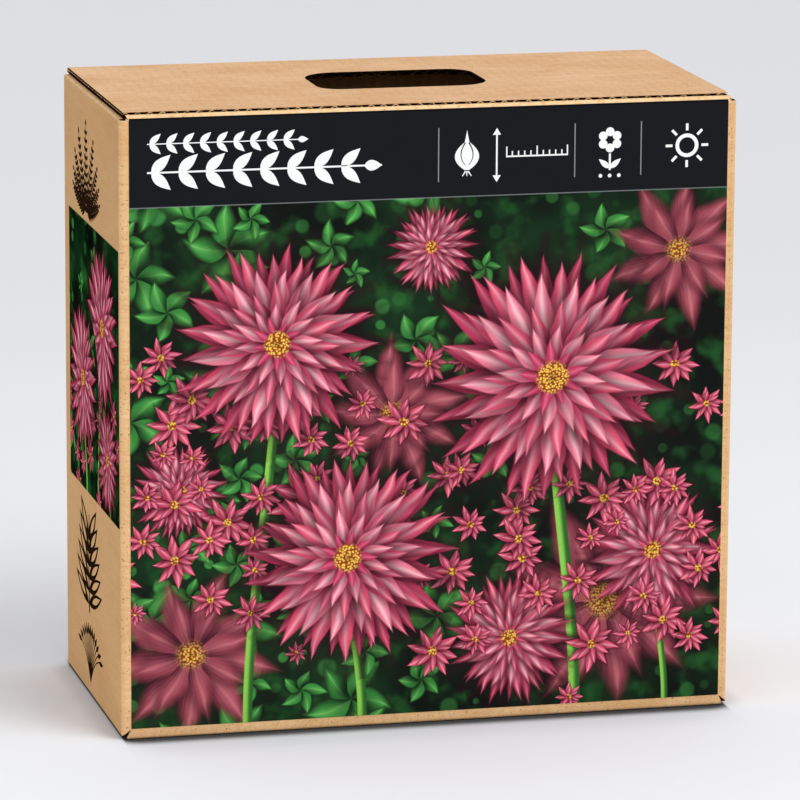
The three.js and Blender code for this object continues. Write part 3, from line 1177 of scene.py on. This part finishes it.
def arrow_mark(x, low, high):
    """An upright line with a point at each end."""
    point, spread = 3.6, 2.2
    return [stroke([(x, low + point * 0.8), (x, high - point * 0.8)], 0.9),
            [(x, high), (x - spread, high - point), (x + spread, high - point)],
            [(x, low), (x + spread, low + point), (x - spread, low + point)]]


def ruler_mark(left, right, level):
    """A level ruler whose longer ticks stand at its ends and middle."""
    marks = [rounded_rectangle(left, level, right, level + 0.8)]
    for i in range(11):
        x = left + (right - left) * i / 10
        tall = 5.6 if i % 5 == 0 else 3.2
        x = min(max(x, left + 0.35), right - 0.35)
        marks.append(rounded_rectangle(x - 0.35, level + 0.8, x + 0.35, level + tall))
    return marks


def flower_mark(x, z):
    """Six round petals round an open middle, on a stalk with two leaves."""
    marks = [circle(*polar((x, z), 4.3, 30 + 60 * i), 2.35) for i in range(6)]
    marks.append(stroke([(x, z - 7.2), (x, z - 16.0)], 1.1))
    for side in (-1, 1):
        marks.append(leaf((x, z - 15.0), (x + side * 6.0, z - 10.0), 3.0))
    return marks


def sun_mark(x, z):
    """A ring with eight rays, drawn as its outline, its hole and the rays."""
    rays = [stroke([polar((x, z), 7.9, 45 * i), polar((x, z), 11.6, 45 * i)], 1.4)
            for i in range(8)]
    return circle(x, z, 6.3), circle(x, z, 4.3), rays


def raise_marks(outlines, wall, base, holes=()):
    """Ink as thin solids that stand out of a surface at w = base.

    Each is a hair's breadth higher than the last, so that none share a face.
    """
    solid = bmesh.new()
    for i, outline in enumerate(outlines):
        top = base + INK * (0.8 + 0.2 * (i % 16) / 16)
        mine = [hole for owner, hole in holes if owner == i]
        add_to(solid, prism(outline, base - 0.03, top, wall, mine))
    return solid


MARK_LEVEL = 305.2      # middle of the row of small marks
# Each garland's left and right end, level, size and pairs of leaves.
GARLANDS = ((-150.6, -66.0, 315.4, 11.0, 9), (-150.6, -26.8, 300.5, 19.0, 8))
BULB_X, ARROW_X, RULER_ENDS, FLOWER_X, SUN_X = 18.6, 34.6, (39.6, 73.0), 95.7, 137.6
ARROW_ENDS = (289.3, 317.8)
RULE_PLACES, RULE_ENDS = (3.4, 76.7, 112.6), (290.4, 318.8)

for name, wall in (("front", front_wall), ("back", back_wall)):
    ring, ring_hole, rays = sun_mark(SUN_X, MARK_LEVEL)
    bulb, skins = bulb_mark(BULB_X, MARK_LEVEL - 0.5)
    marks = [ring, bulb[0]] + rays + bulb[1:]
    for layout in GARLANDS:
        marks += garland(*layout)
    marks += arrow_mark(ARROW_X, *ARROW_ENDS)
    marks += ruler_mark(*RULER_ENDS, MARK_LEVEL - 3.0)
    marks += flower_mark(FLOWER_X, 309.5)
    marks += [circle(FLOWER_X + 5.0 * i, 290.6, 1.0) for i in (-1, 0, 1)]
    holes = [(0, ring_hole)] + [(1, skin) for skin in skins]
    piece(f"{name}_header_marks", raise_marks(marks, wall, SHEET, holes), [white_ink],
          "carton")
    rules = [stroke([(x, z) for z in RULE_ENDS], 0.55) for x in RULE_PLACES]
    piece(f"{name}_header_rules", raise_marks(rules, wall, SHEET), [grey_ink],
          "carton")


def frond(base, tip, bend, leaflets, length, width):
    """A curved stalk with pairs of leaflets that shorten towards its tip."""
    middle = (Vector(base) + Vector(tip)) / 2
    away = Vector(tip) - Vector(base)
    control = middle + Vector((-away.y, away.x)) * bend
    line = curve(base, control, tip, leaflets + 1)
    marks = [stroke(line, 1.0, 0.5)]
    for i in range(1, leaflets + 1):
        along = Vector(line[i + 1]) - Vector(line[i - 1])
        heading = math.degrees(math.atan2(along.y, along.x))
        reach = length * (1.0 - 0.6 * i / (leaflets + 1))
        for side in (-1, 1):
            tip_point = polar(line[i], reach, heading + side * 48)
            marks.append(leaf(line[i], tip_point, width, 6))
    marks.append(leaf(line[-1], polar(line[-1], length * 0.5, heading), width, 6))
    return marks


def fern_crown(foot, half_width, height):
    """Fronds that fan out from one foot to an oval. Nothing in them stays unprinted."""
    marks = []
    for lean in range(-68, 69, 17):
        angle = math.radians(lean)
        reach = 1 / math.hypot(math.sin(angle) / half_width, math.cos(angle) / height)
        marks += frond(foot, polar(foot, reach - 4, 90 - lean), lean * -0.0022, 9, 7.0, 2.0)
    return marks, []


def leafy_twig(foot, half_width, height):
    """An upright twig with broad leaves, printed as their rims alone."""
    marks = [stroke(curve(foot, (foot[0] - 2, foot[1] + height / 2),
                          (foot[0], foot[1] + height)), 1.6, 0.8)]
    holes = []
    for i in range(6):
        level = foot[1] + height * (0.08 + 0.13 * i)
        angle = 62 - 6 * i
        reach = (half_width - 1.8 * i) / math.sin(math.radians(angle))
        for side in (-1, 1):
            start = (foot[0] - 0.8, level)
            tip = polar(start, reach, 90 - side * angle)
            bare = leaf(*between(start, tip, 0.25, 0.85), 3.6, 6)
            holes.append((len(marks), bare))
            marks.append(leaf(start, tip, 7.4))
    return marks, holes


def between(start, end, first, last):
    """Two places on a line, given as shares of the way from its start to its end."""
    a, b = Vector(start), Vector(end)
    return tuple(a.lerp(b, first)), tuple(a.lerp(b, last))


def grass_tuft(foot, half_width, height):
    """Blades that lean out from one foot. Nothing in them stays unprinted."""
    marks = []
    for i in range(-6, 7):
        tip = (foot[0] + half_width * i / 6, foot[1] + height * (1 - 0.012 * i * i))
        line = curve(foot, (foot[0] + i * 1.2, foot[1] + height * 0.6), tip, 8)
        marks.append(stroke(line, 0.5, 0.9))
        marks.append(leaf(line[-3], tip, 2.8, 6))
    return marks, []


def widened(outline, middle, factor):
    """The outline stretched level, away from a middle."""
    return [(middle + (u - middle) * factor, v) for u, v in outline]


STRETCH = 1.7           # the drawings are this much wider than they were drawn

# Foot, half width and height of the drawings on the left wall. The right one mirrors them.
TWIG = ((-11.0, 46.4), 22.0, 54.0)
CROWN = ((-14.0, 264.5), 25.0, 50.0)
TUFT = ((-9.0, 8.0), 21.0, 32.0)

for name, wall, side in (("left", left_wall, 1), ("right", right_wall, -1)):
    marks, holes = [], []
    for draw, ((x, foot), half_width, height) in (
            (leafy_twig, TWIG), (fern_crown, CROWN), (grass_tuft, TUFT)):
        middle = x * side
        drawn, unprinted = draw((middle, foot), half_width, height)
        marks += [widened(mark, middle, STRETCH) for mark in drawn]
        holes += [(owner, widened(hole, middle, STRETCH)) for owner, hole in unprinted]
    piece(f"{name}_wall_drawings", raise_marks(marks, wall, 0.0, holes), [brown_ink],
          "carton")

# ---- Camera ----

IMAGE_SIDE = 800        # the photograph, in pixels
FOCAL = 5545.0          # its focal length, in pixels
SENSOR = 36.0
AZIMUTH, ELEVATION, ROLL = -13.744, 12.107, 0.331
DISTANCE = 2.9829
TARGET = Vector((0.00315, 0.0, 0.15785))


def make_camera():
    azimuth, elevation = math.radians(AZIMUTH), math.radians(ELEVATION)
    back = Vector((math.sin(azimuth) * math.cos(elevation),
                   -math.cos(azimuth) * math.cos(elevation), math.sin(elevation)))
    lens = bpy.data.cameras.new("camera")
    lens.sensor_width = SENSOR
    lens.lens = SENSOR * FOCAL / IMAGE_SIDE
    lens.clip_start, lens.clip_end = 0.1, 50
    camera = add_object("camera", lens)
    camera.location = TARGET + back * DISTANCE
    camera.rotation_mode = "QUATERNION"
    roll = Quaternion((0, 0, 1), math.radians(ROLL))
    camera.rotation_quaternion = (-back).to_track_quat("-Z", "Y") @ roll
    bpy.context.scene.camera = camera


make_camera()

# ---- Floor and light ----

# In metres: the floor's near and far end, half its width, and the sweep's radius and top.
FLOOR_NEAR, FLOOR_FAR, FLOOR_HALF, SWEEP, SWEEP_TOP = -7.0, 6.0, 9.0, 2.0, 9.0
# The floor is painted lighter near the carton and darker far off: a painted fall-off of
# light.
FLOOR_TONES = ("EFF1F4", "D8D9DC", "D5D5D7")    # near, further off and at the sweep
COOL_TONE = "EDF0F4"
CONTACT_TONE = "0B0C10"
# How far a contact shadow reaches, in metres, and how dark it is: a tight and a wide one.
CONTACTS = ((0.015, 0.92), (0.05, 0.12))

KEY_DIRECTION, KEY_STRENGTH, KEY_SOFTNESS = (0.6, -0.62, 0.85), 1.21, 40
STUDIO_COLOUR, STUDIO_STRENGTH = (0.985, 0.99, 1.0, 1.0), 0.86


def make_floor():
    """A pale sweep: a wide floor that curves up far behind the carton."""
    solid = bmesh.new()
    profile = [(FLOOR_NEAR, 0.0), (FLOOR_FAR, 0.0)]
    profile += arc(FLOOR_FAR, SWEEP, SWEEP, -90, 0)[1:]
    profile += [(FLOOR_FAR + SWEEP, SWEEP_TOP)]
    rows = [[solid.verts.new((x, y, z)) for y, z in profile]
            for x in (-FLOOR_HALF, FLOOR_HALF)]
    for i in range(len(profile) - 1):
        solid.faces.new((rows[0][i], rows[1][i], rows[1][i + 1], rows[0][i + 1]))
    mesh = mesh_of("floor", solid)
    mesh.shade_smooth()
    floor = add_object("floor", mesh)
    paint = Paint("floor", roughness=0.8, specular=0.0)
    near, further, sweep = FLOOR_TONES
    # Painted light: lighter near, darker further off and at the sweep.
    paint.coat = paint.mix(paint.step(paint.y, -400.0, 1300.0), near, further)
    paint.lay(paint.step(paint.y, 900.0, 2800.0), sweep)
    # A cooler tone makes up for the warm light that the kraft throws on the floor.
    beside = paint.vector("LENGTH", paint.combine(paint.x, paint.y * 1.5))
    paint.lay(paint.step(beside, 420.0, 190.0), COOL_TONE)
    # The outer flaps touch the floor along the front. The end walls end above them.
    in_front = (paint.step(paint.y, 3 - HALF_Y, -2 - HALF_Y)
                * paint.step(abs(paint.x), HALF_X + 6, HALF_X - 10))
    under = paint.step(abs(paint.x), HALF_X, HALF_X - 1.5, 0.2, 1.0)
    touching = paint.math("MAXIMUM", in_front, under)
    for reach, share in CONTACTS:
        openness = paint.node("AmbientOcclusion", {"Distance": reach}, "AO")
        shadow = paint.step(openness, 0.66, 1.0, share, 0.0) * touching
        paint.lay(shadow, CONTACT_TONE)
    mesh.materials.append(paint.done())


def soft_sun(name, towards, strength, softness):
    """Even light from one direction, as from a large softbox far away."""
    light = bpy.data.lights.new(name, "SUN")
    light.energy = strength
    light.angle = math.radians(softness)
    made = add_object(name, light)
    made.rotation_mode = "QUATERNION"
    made.rotation_quaternion = Vector(towards).to_track_quat("Z", "Y")


def make_light():
    soft_sun("key", KEY_DIRECTION, KEY_STRENGTH, KEY_SOFTNESS)
    world = bpy.data.worlds.new("studio")
    world.use_nodes = True
    background = world.node_tree.nodes["Background"]
    background.inputs["Color"].default_value = STUDIO_COLOUR
    background.inputs["Strength"].default_value = STUDIO_STRENGTH
    bpy.context.scene.world = world
    bpy.context.scene.view_settings.view_transform = "Standard"


make_floor()
make_light()
